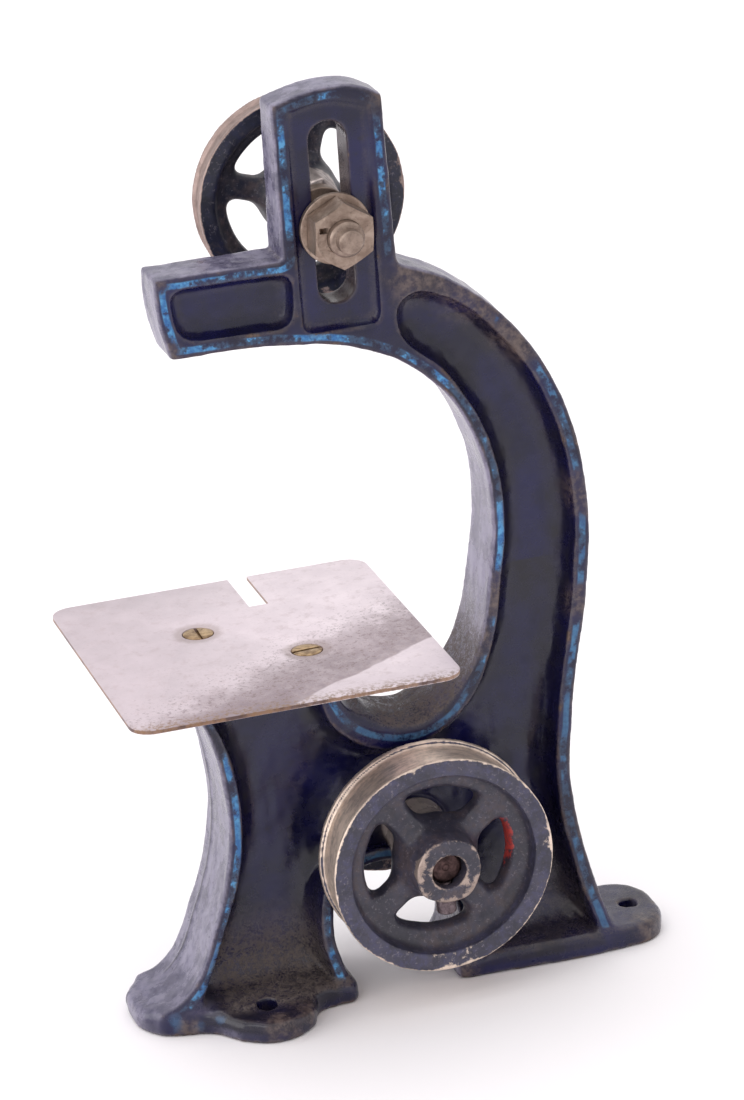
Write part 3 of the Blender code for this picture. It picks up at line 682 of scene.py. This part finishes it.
def make_stud():
    profile = [(0.0, -17.6), (2.3, -17.6), (2.75, -17.2), (2.8, -14.95), (3.5, -14.9),
               (4.0, -14.4), (4.0, 4.3), (6.3, 4.4), (6.5, 4.7), (6.5, 7.8), (6.3, 8.1),
               (4.0, 8.1), (4.0, 27.3), (3.8, 27.6), (1.9, 27.6), (1.9, 19.0), (0.0, 19.0)]
    return soften(lathe("top_stud", profile, (STUD_X, 0.0, STUD_Z)), 0.06)


def make_set_screw(name, y, outer, head):
    """Slotted screw that points up at the lower shaft; head is the radius of its head."""
    tip, end = SHAFT_Z - SHAFT_R - 0.15, SHAFT_Z - outer
    profile = [(0.0, tip), (1.2, tip), (1.5, tip - 0.3)]
    if head:
        profile += [(1.5, end + 3.5), (head, end + 3.5), (head, end + 0.4), (head - 0.4, end)]
    else:
        profile += [(1.5, end + 0.2), (1.3, end)]
    screw = lathe(name, profile + [(0.0, end)], (SHAFT_X, y, 0.0), 48, upright=True)
    carve(screw, slab("slot", (SHAFT_X - 4, y - 0.35, end - 1), (SHAFT_X + 4, y + 0.35, end + 0.9)))
    return soften(screw, 0.12)


def make_small_turnings():
    """Washers, shaft and screws, as (piece, body, node)."""
    stud, shaft = (STUD_X, 0.0, STUD_Z), (SHAFT_X, 0.0, SHAFT_Z)
    washer = soften(lathe("top_washer", [(8.0, -4.4), (8.0, -5.9), (4.3, -5.9), (4.3, -4.4)],
                          stud), 0.25, 3)
    keeper = soften(lathe("wheel_washer", [(6.6, 28.9), (6.6, 27.9), (1.9, 27.9), (1.9, 28.9)],
                          stud), 0.2)
    screw = lathe("wheel_screw", [(0.0, 31.6), (2.7, 31.6), (3.3, 31.2), (3.5, 30.6),
                                  (3.5, 29.2), (1.6, 29.2), (1.6, 20.8), (0.0, 20.8)], stud, 64)
    carve(screw, slab("slot", (STUD_X - 5, 30.5, STUD_Z - 0.4), (STUD_X + 5, 33, STUD_Z + 0.4)))
    soften(screw, 0.08)
    rod = lathe("lower_shaft", [(0.0, -25.8), (0.7, -25.85), (0.9, -26.1), (3.2, -26.1),
                                (3.7, -25.6), (3.75, -25.1), (3.75, 27.5), (3.3, 28.0),
                                (0.0, 28.0)], shaft)
    soften(rod, 0.08)
    return ((washer, "stud_carriage", "stud_washer"),
            (keeper, "stud_carriage", "wheel_retaining_washer"),
            (screw, "stud_carriage", "wheel_retaining_screw"),
            (rod, "lower_shaft", "drive_shaft"))


# ---- materials ----
class Paint:
    """Short-hand for building one material's node tree."""

    def __init__(self, name, rough=0.5, metal=0.0, **sockets):
        self.material = bpy.data.materials.new(name)
        self.material.use_nodes = True
        self.nodes = self.material.node_tree.nodes
        self.links = self.material.node_tree.links
        self.shader = self.nodes["Principled BSDF"]
        self.shader.inputs["Roughness"].default_value = rough
        self.shader.inputs["Metallic"].default_value = metal
        for key, value in sockets.items():
            self.shader.inputs[key.replace("_", " ")].default_value = value
        self.place = self.node("ShaderNodeTexCoord").outputs["Object"]

    def node(self, kind, settings=None, **inputs):
        node = self.nodes.new(kind)
        for key, value in (settings or {}).items():
            setattr(node, key, value)
        for key, value in inputs.items():
            self.feed(node.inputs[key.replace("_", " ")], value)
        return node

    def feed(self, socket, value):
        if isinstance(value, bpy.types.NodeSocket):
            self.links.new(value, socket)
        else:
            socket.default_value = value

    def noise(self, size, detail=4.0, rough=0.6, stretch=None, warp=0.0):
        """Noise of about the given feature size in millimetres."""
        place = self.place
        if stretch:
            place = self.node("ShaderNodeMapping", Vector=place, Scale=stretch).outputs[0]
        return self.node("ShaderNodeTexNoise", Vector=place, Scale=1000.0 / size, Detail=detail,
                         Roughness=rough, Distortion=warp).outputs["Fac"]

    def attributes(self, names):
        """The mesh's own numbers of these names, one socket each."""
        return [self.node("ShaderNodeAttribute", {"attribute_name": name}).outputs["Fac"]
                for name in names.split()]

    def xyz(self):
        return self.node("ShaderNodeSeparateXYZ", Vector=self.place).outputs

    def math(self, operation, a, b=0.0, c=0.0):
        node = self.node("ShaderNodeMath", {"operation": operation})
        for socket, value in zip(node.inputs, (a, b, c)):
            self.feed(socket, value)
        return node.outputs[0]

    def plus(self, a, b):
        return self.math("ADD", a, b)

    def minus(self, a, b):
        return self.math("SUBTRACT", a, b)

    def times(self, a, b):
        return self.math("MULTIPLY", a, b)

    def scale(self, value, factor, offset):
        return self.math("MULTIPLY_ADD", value, factor, offset)

    def most(self, a, b):
        return self.math("MAXIMUM", a, b)

    def ramp(self, value, low, high, out_low=0.0, out_high=1.0):
        """Map a range softly to another."""
        node = self.node("ShaderNodeMapRange", {"interpolation_type": "SMOOTHSTEP"},
                         Value=value, From_Min=low, From_Max=high, To_Min=out_low,
                         To_Max=out_high)
        return node.outputs[0]

    def mix(self, factor, a, b):
        node = self.node("ShaderNodeMix", {"data_type": "RGBA"})
        self.feed(node.inputs[0], factor)
        for socket, value in ((node.inputs[6], a), (node.inputs[7], b)):
            self.feed(socket, (*value, 1.0) if isinstance(value, tuple) else value)
        return node.outputs[2]

    def height(self, value, depth, previous=None):
        """Bump of the given depth in millimetres."""
        node = self.node("ShaderNodeBump", Height=value, Distance=depth * MM, Strength=1.0)
        if previous is not None:
            self.links.new(previous, node.inputs["Normal"])
        return node.outputs[0]

    def finish(self, colour, rough=None, metal=None, normal=None):
        for socket, source in (("Base Color", colour), ("Roughness", rough), ("Metallic", metal),
                               ("Normal", normal)):
            if source is not None:
                self.links.new(source, self.shader.inputs[socket])
        return self.material


def tone(red, green, blue):
    """Linear colour from the 0 to 255 values of a screen colour."""
    return tuple(((c / 255 + 0.055) / 1.055) ** 2.4 if c > 10 else c / 255 / 12.92
                 for c in (red, green, blue))


NAVY = tone(19, 19, 68)
NAVY_DARK = tone(11, 10, 42)
# near-black, for dark patches in the paint and for painted shade
DARK_PATCH_AND_SHADE = tone(26, 23, 30)
LINING, LINING_DEEP, LINING_HAZE = tone(84, 152, 200), tone(34, 92, 152), tone(52, 78, 108)
DUST = tone(96, 88, 82)
LINING_INSET = 1.85         # from the edge of the casting, millimetres


def enamel():
    """Old navy enamel on cast iron, lined in pale blue along the rims and worn at the edges."""
    p = Paint("old_navy_enamel", IOR=1.5)
    rim, face, wear, hollow, dust, raw, shade, seam, rub, dab, sheen_amount = p.attributes(
        "rim face wear hollow dust raw shade seam rub dab haze")
    broad, patch = p.noise(16.0, 3.0), p.noise(5.5)
    chips, flecks, grain = p.noise(1.9, 6.0, 0.7), p.noise(0.8, 3.0, 0.7), p.noise(0.5, 3.0)

    colour = p.mix(p.ramp(broad, 0.35, 0.65), NAVY_DARK, NAVY)
    # painted shade in the pockets under the table and along the pocket walls
    colour = p.mix(p.times(shade, p.ramp(patch, 0.3, 0.7, 0.5, 0.95)), colour, DARK_PATCH_AND_SHADE)
    lost = p.plus(p.times(patch, 0.8), p.times(chips, 0.5))
    colour = p.mix(p.ramp(lost, 0.74, 0.90, 0.0, 0.7), colour, DARK_PATCH_AND_SHADE)

    wander = p.scale(p.noise(8.0, 2.0), 1.0, -0.5)
    off_line = p.math("ABSOLUTE", p.minus(p.plus(rim, wander), LINING_INSET))
    band = p.times(p.ramp(off_line, 1.05, 0.60), face)
    intact = p.ramp(p.plus(rub, p.scale(chips, 0.8, -0.4)), 0.55, 0.30)
    faded = p.plus(p.plus(patch, chips), p.times(broad, 0.8))
    haze = p.times(p.times(band, p.ramp(faded, 1.20, 1.44, 0.0, 0.85)), intact)
    colour = p.mix(haze, colour, LINING_HAZE)
    kept = p.plus(p.times(broad, 0.9), p.plus(p.times(patch, 0.75), p.times(chips, 0.35)))
    core = p.times(p.ramp(off_line, 0.85, 0.55), face)
    line = p.times(p.times(core, p.ramp(kept, 0.97, 1.03)),
                   p.ramp(flecks, 0.32, 0.42, 0.4, 1.0))
    line = p.times(line, intact)
    lining = p.mix(p.ramp(chips, 0.4, 0.65), LINING_DEEP, LINING)
    x, _, z = p.xyz()
    in_throat = p.times(p.ramp(x, -0.016, -0.008), p.ramp(z, 0.084, 0.070, 0.0, 0.7))
    dulled = p.most(p.ramp(x, 0.030, 0.044, 0.0, 0.6), in_throat)
    colour = p.mix(line, colour, p.mix(dulled, lining, LINING_HAZE))
    dabbed = p.plus(dab, p.scale(patch, 2.0, -1.0))
    colour = p.mix(p.ramp(dabbed, 0.40, 1.0, 0.0, 0.7), colour, tone(54, 88, 124))

    scuff = p.plus(p.times(wear, 0.62), p.plus(p.times(chips, 0.95), p.times(patch, 0.55)))
    bare = p.most(p.ramp(scuff, 1.03, 1.18),
                  p.times(raw, p.ramp(chips, 0.25, 0.5, 0.5, 1.0)))
    worn = p.mix(p.ramp(flecks, 0.4, 0.6), tone(58, 48, 46), tone(118, 98, 88))
    worn = p.mix(raw, worn, tone(205, 190, 182))
    colour = p.mix(bare, colour, worn)
    edge = p.times(p.ramp(wear, 0.10, 0.6), p.ramp(chips, 0.38, 0.58, 0.25, 0.85))
    colour = p.mix(edge, colour, p.mix(p.ramp(patch, 0.4, 0.6), tone(86, 80, 88),
                                       tone(98, 82, 76)))
    rust = p.times(p.ramp(rub, 0.15, 0.8),
                   p.ramp(p.plus(chips, patch), 0.75, 1.25, 0.2, 0.95))
    colour = p.mix(rust, colour, p.mix(p.ramp(chips, 0.35, 0.65), tone(66, 54, 54),
                                       tone(104, 90, 86)))

    # painted sheen: a lighter lavender tint on faces turned towards the lamps
    sheen_amount = p.times(sheen_amount, p.ramp(chips, 0.3, 0.6, 0.45, 0.9))
    colour = p.mix(sheen_amount, colour, p.mix(p.ramp(patch, 0.35, 0.65), tone(96, 92, 112),
                                       tone(136, 131, 152)))
    settled = p.most(p.times(p.ramp(hollow, 0.05, 0.6), 0.45), dust)
    settled = p.times(settled, p.ramp(p.plus(grain, chips), 0.82, 1.12, 0.25, 0.95))
    colour = p.mix(settled, colour, p.mix(flecks, tone(78, 68, 64), tone(112, 102, 98)))
    # painted shade: a dark line in the crease of the seam on the front leg
    colour = p.mix(p.times(p.ramp(seam, 0.2, 0.8), 0.5), colour, DARK_PATCH_AND_SHADE)

    rough = p.ramp(patch, 0.3, 0.7, 0.19, 0.36)
    rough = p.most(rough, p.times(settled, 0.85))
    rough = p.most(rough, p.times(haze, 0.6))
    bump = p.height(p.noise(3.2, 3.0), 0.05)
    bump = p.height(grain, 0.012, bump)
    bump = p.height(p.times(settled, grain), 0.12, bump)
    bump = p.height(line, 0.03, bump)
    bump = p.height(p.minus(1.0, bare), 0.05, bump)
    metal = p.times(bare, p.scale(raw, -0.4, 0.55))
    return p.finish(colour, rough, metal, bump)


def wear_metal(name, light, dark, size=3.0, rough=(0.3, 0.5), metal=1.0, grime=0.6):
    """Bare metal with stains and dark specks of grime."""
    p = Paint(name, metal=metal)
    stain, speck = p.noise(size, 6.0, 0.65, warp=0.4), p.noise(size * 0.22, 3.0)
    colour = p.mix(p.ramp(stain, 0.32, 0.68), dark, light)
    colour = p.mix(p.ramp(speck, 0.60, 0.72, 0.0, grime), colour,
                   tuple(c * 0.35 for c in dark))
    bump = p.height(speck, 0.04)
    bump = p.height(p.noise(0.3, 2.0), 0.012, bump)
    return p.finish(colour, p.ramp(stain, 0.3, 0.7, rough[1], rough[0]), normal=bump)


def table_metal():
    """Thin nickel on sheet steel, with a tide mark of tarnish across the near corner."""
    p = Paint("nickelled_sheet", metal=0.6)
    x, y, z = (p.times(metres, 1000.0) for metres in p.xyz())
    wander = p.scale(p.noise(24.0, 3.0), 7.0, -3.5)
    tide = p.plus(p.minus(y, p.times(x, 0.62)), wander)
    cloud, specks, pits = p.noise(7.0, 6.0, 0.7), p.noise(0.9, 3.0, 0.7), p.noise(0.7, 3.0)
    fade = p.ramp(p.plus(tide, p.scale(cloud, 30.0, -15.0)), 8.0, -8.0)
    stain = p.times(fade, p.ramp(tide, -21.2, -20.2))
    sheen = p.ramp(x, -66.0, 10.0)
    colour = p.mix(p.ramp(cloud, 0.3, 0.7), p.mix(sheen, tone(194, 181, 187), tone(228, 215, 221)),
                   p.mix(sheen, tone(204, 191, 197), tone(238, 226, 231)))
    smudge = p.ramp(p.noise(3.2, 5.0, 0.75), 0.50, 0.68, 0.0, 0.28)
    colour = p.mix(smudge, colour, tone(178, 158, 160))
    colour = p.mix(p.times(stain, p.ramp(cloud, 0.30, 0.62, 0.48, 0.74)), colour,
                   p.mix(p.ramp(specks, 0.4, 0.6), tone(122, 104, 112), tone(146, 126, 128)))
    fringe = p.times(p.ramp(tide, 20.0, -2.0), p.ramp(tide, -21.0, -16.0))
    dots = p.times(p.ramp(p.plus(specks, p.times(fringe, 0.07)), 0.60, 0.68),
                   p.scale(fringe, 0.38, 0.10))
    colour = p.mix(dots, colour, tone(110, 92, 96))
    front = p.times(p.ramp(y, -33.0, -38.4), p.ramp(specks, 0.42, 0.60, 0.0, 0.8))
    colour = p.mix(front, colour, tone(150, 124, 104))
    for sx, sy in TABLE_SCREWS:
        away = p.math("SQRT", p.plus(p.math("POWER", p.minus(x, sx), 2.0),
                                     p.math("POWER", p.minus(y, sy), 2.0)))
        ring = p.ramp(p.plus(away, p.scale(cloud, 3.0, -1.5)), 6.4, 4.4)
        colour = p.mix(p.times(ring, 0.35), colour, tone(134, 112, 100))
    side = p.ramp(p.math("ABSOLUTE", p.minus(z, TABLE_TOP - 0.5)), 0.46, 0.30)
    grimed = p.mix(p.ramp(cloud, 0.42, 0.56), tone(74, 50, 44), tone(138, 106, 80))
    colour = p.mix(p.times(side, 0.85), colour, grimed)
    rough = p.most(p.ramp(cloud, 0.25, 0.75, 0.40, 0.52), p.times(dots, 0.7))
    bump = p.height(p.noise(12.0, 2.0), 0.06)
    bump = p.height(p.ramp(pits, 0.60, 0.72, 1.0, 0.0), 0.02, bump)
    bump = p.height(p.noise(0.5, 2.0, stretch=(1.0, 0.06, 1.0)), 0.012, bump)
    return p.finish(colour, rough, normal=bump)


def wheel_enamel(name, bare, paint, red_patch=None, hub_bare=0.0, hub_tone=tone(164, 146, 138)):
    """Worn dark enamel on cast iron: bare on the tread and edges, dusty in the corners."""
    p = Paint(name, IOR=1.5)
    wear, hollow, tread, lip, hub, band, patch = p.attributes(
        "wear hollow tread lip hub band patch")
    broad, chips, grain = p.noise(9.0), p.noise(1.9, 5.0, 0.7), p.noise(0.5, 3.0)
    colour = p.mix(p.ramp(broad, 0.35, 0.65), tuple(c * 0.55 for c in paint), paint)
    primer = p.plus(p.times(broad, 0.6), p.times(chips, 0.7))
    primer = p.minus(primer, p.times(band, 0.12))
    colour = p.mix(p.ramp(primer, 0.58, 0.80, 0.0, 0.80), colour, tone(80, 68, 70))
    colour = p.mix(p.times(band, p.ramp(chips, 0.35, 0.55, 0.75, 0.1)), colour,
                   tuple(c * s for c, s in zip(paint, (1.0, 1.03, 1.4))))
    specks = p.ramp(p.noise(0.8, 4.0, 0.75), 0.56, 0.68)
    colour = p.mix(p.times(specks, 0.5), colour, tone(136, 128, 136))
    stains = p.ramp(p.noise(3.4, 5.0, 0.7), 0.48, 0.64, 0.0, 0.55)
    colour = p.mix(stains, colour, tuple(c * 0.35 for c in paint))
    dusty = p.times(p.ramp(hollow, 0.05, 0.7), p.ramp(grain, 0.35, 0.6, 0.2, 0.8))
    colour = p.mix(dusty, colour, DUST)
    if red_patch:
        far = 0.0
        for metres, (middle, reach) in zip(p.xyz(), red_patch):
            away = p.math("DIVIDE", p.scale(metres, 1000.0, -middle), reach)
            far = p.plus(far, p.times(away, away))
        red = p.ramp(p.plus(far, p.scale(chips, 3.2, -1.6)), 1.05, 0.75)
        red = p.times(red, p.ramp(p.noise(1.0, 3.0), 0.38, 0.52, 0.45, 0.95))
        colour = p.mix(red, colour, tone(186, 66, 60))
    scuff = p.plus(p.times(wear, 0.8), p.scale(chips, 1.5, -0.80))
    for zone, weight in ((lip, 0.22), (patch, 0.6), (hub, 0.25 + hub_bare)):
        scuff = p.plus(scuff, p.times(zone, weight))
    scuff = p.most(scuff, p.times(tread, p.ramp(chips, 0.2, 0.5, 0.7, 1.0)))
    scuff = p.ramp(scuff, 0.46, 0.70)
    streak = p.noise(1.6, 4.0, 0.65, stretch=(0.35, 1.6, 0.35))
    mottle = p.plus(p.times(streak, 0.5), p.times(chips, 0.5))
    metal = p.mix(p.ramp(mottle, 0.34, 0.60), tuple(c * 0.58 for c in bare), bare)
    metal = p.mix(p.times(hub, 0.85), metal,
                  p.mix(p.ramp(chips, 0.35, 0.6), tuple(c * 0.7 for c in hub_tone), hub_tone))
    colour = p.mix(scuff, colour, metal)
    rough = p.most(p.ramp(broad, 0.3, 0.7, 0.32, 0.5), p.times(dusty, 0.85))
    bump = p.height(p.noise(2.0), 0.05)
    bump = p.height(grain, 0.016, bump)
    turned = p.noise(0.55, 2.0, stretch=(0.02, 1.0, 0.02))
    bump = p.height(p.times(turned, tread), 0.03, bump)
    bump = p.height(p.minus(1.0, scuff), 0.05, bump)
    return p.finish(colour, rough, p.times(scuff, 0.75), bump)


def floor_paint():
    p = Paint("pale_floor", rough=0.9)
    shade = p.mix(p.noise(180.0, 2.0), tone(251, 248, 250), tone(253, 250, 252))
    return p.finish(shade, normal=p.height(p.noise(1.2, 3.0), 0.01))


# ---- stage ----
LIGHTS_AIM = (0.0, 0.0, 0.1)
FLOOR_HALF = 4000


def add_camera():
    right = Vector((0.9516, -0.3008, -0.0628))
    up = Vector((0.1658, 0.3305, 0.9291))
    back = right.cross(up).normalized()
    up = back.cross(right).normalized()
    camera = place("camera", bpy.data.cameras.new("camera"))
    camera.data.lens, camera.data.sensor_width = 156.4, 36.0
    camera.data.clip_start, camera.data.clip_end = 0.05, 20.0
    turn = Matrix((right, up, back)).transposed().to_4x4()
    camera.matrix_world = Matrix.Translation((-0.27457, -0.95608, 0.49323)) @ turn
    bpy.context.scene.camera = camera


def add_light(name, where, width, power):
    """Square softbox that faces the saw."""
    light = bpy.data.lights.new(name, "AREA")
    light.shape, light.size, light.energy = "SQUARE", width, power
    obj = place(name, light)
    obj.location = where
    obj.rotation_euler = (Vector(LIGHTS_AIM) - Vector(where)).to_track_quat("-Z", "Y").to_euler()


def add_stage():
    scene = bpy.context.scene
    scene.view_settings.view_transform = "Standard"
    scene.world = bpy.data.worlds.new("studio")
    scene.world.use_nodes = True
    sky = scene.world.node_tree.nodes["Background"]
    sky.inputs["Color"].default_value = (1.0, 0.985, 0.99, 1.0)
    sky.inputs["Strength"].default_value = 0.93
    add_light("top_softbox", (-0.1, 0.35, 1.3), 1.6, 6.5)
    add_light("left_softbox", (-1.2, 0.1, 0.35), 1.3, 8.0)
    add_light("small_softbox", (-0.75, -0.6, 0.95), 0.22, 0.8)
    corners = [(x * FLOOR_HALF, y * FLOOR_HALF, -0.1)
               for x, y in ((-1, -1), (1, -1), (1, 1), (-1, 1))]
    floor = mesh_object("floor", corners, np.array([(0, 1, 2, 3)]))
    floor.data.materials.append(floor_paint())


# ---- build ----
dress(make_casting(), enamel(), "frame", "frame_casting")
dress(make_table(), table_metal(), "frame", "table_plate")
brass = wear_metal("dull_brass", tone(196, 168, 130), tone(128, 104, 80), 2.2)
for (x, y), side, turn in zip(TABLE_SCREWS, ("left", "right"), (88, 4)):
    node = "table_screw_" + side
    dress(make_table_screw(node + "_detail", x, y, math.radians(turn)), brass, "frame", node)

pulley_paint = wheel_enamel("pulley_enamel", tone(236, 216, 200), tone(70, 68, 84),
                            ((SHAFT_X + 16.0, 3.2), (-18.4, 3.0), (SHAFT_Z + 1.5, 6.5)))
wheel_paint = wheel_enamel("wheel_enamel", tone(158, 138, 132), tone(32, 34, 54), None, 0.5,
                           tone(202, 190, 186))
shaft, stud = (SHAFT_X, SHAFT_Z), (STUD_X, STUD_Z)
dress(make_wheel("belt_pulley", shaft, PULLEY_R, (21.6, -25.3, -12.3), (1.1, 1.5), (-19.0, 2.1),
                 (7.9, -29.0, -12.4), 4.0, (9.7, 17.1, 6.4, 37.0), (PULLEY_SCREW_Y, 1.8)),
      pulley_paint, "lower_shaft", "drive_pulley")
dress(make_wheel("top_wheel", stud, TOP_WHEEL_R, (20.2, 19.0, 25.5), (0.8, 1.0), (22.3, 1.6),
                 (7.6, 8.4, 27.2), 4.07, (9.1, 16.7, 5.7, 74.0)),
      wheel_paint, "upper_wheel", "upper_band_wheel")
dress(make_wheel("bottom_wheel", shaft, LOWER_WHEEL_R, (16.5, 19.0, 25.5), (0.8, 1.0), (22.3, 1.6),
                 (7.0, 12.4, 27.2), 4.0, (8.5, 14.5, 4.2, 38.0), (WHEEL_SCREW_Y, 1.8)),
      wheel_paint, "lower_shaft", "lower_band_wheel")

nickel = wear_metal("tarnished_nickel", tone(174, 155, 142), tone(134, 115, 103), 3.5,
                    (0.36, 0.5), 0.8, 0.45)
steel = wear_metal("dull_steel", tone(160, 142, 130), tone(122, 105, 95), 2.5, (0.36, 0.5), 0.8,
                   0.5)
# dark rusty steel for the shaft, kept dark as painted shade on its end inside the hub
rust_and_shade = wear_metal("rust_and_shade_steel", tone(96, 74, 72), tone(52, 38, 38), 2.0, (0.4, 0.6), 0.8)
dress(make_nut(), nickel, "stud_carriage", "stud_nut")
dress(make_stud(), steel, "stud_carriage", "upper_stud")
for piece, body, node in make_small_turnings():
    paint = nickel if "washer" in node else rust_and_shade if node == "drive_shaft" else steel
    dress(piece, paint, body, node)
screw_steel = wear_metal("screw_steel", tone(126, 112, 116), tone(82, 70, 74), 1.6, (0.4, 0.6),
                         0.8)
dress(make_set_screw("pulley_screw", PULLEY_SCREW_Y, 11.5, 2.3), screw_steel, "lower_shaft",
      "pulley_set_screw")
dress(make_set_screw("wheel_set_screw", WHEEL_SCREW_Y, 6.8, None), steel, "lower_shaft",
      "band_wheel_set_screw")

add_camera()
add_stage()
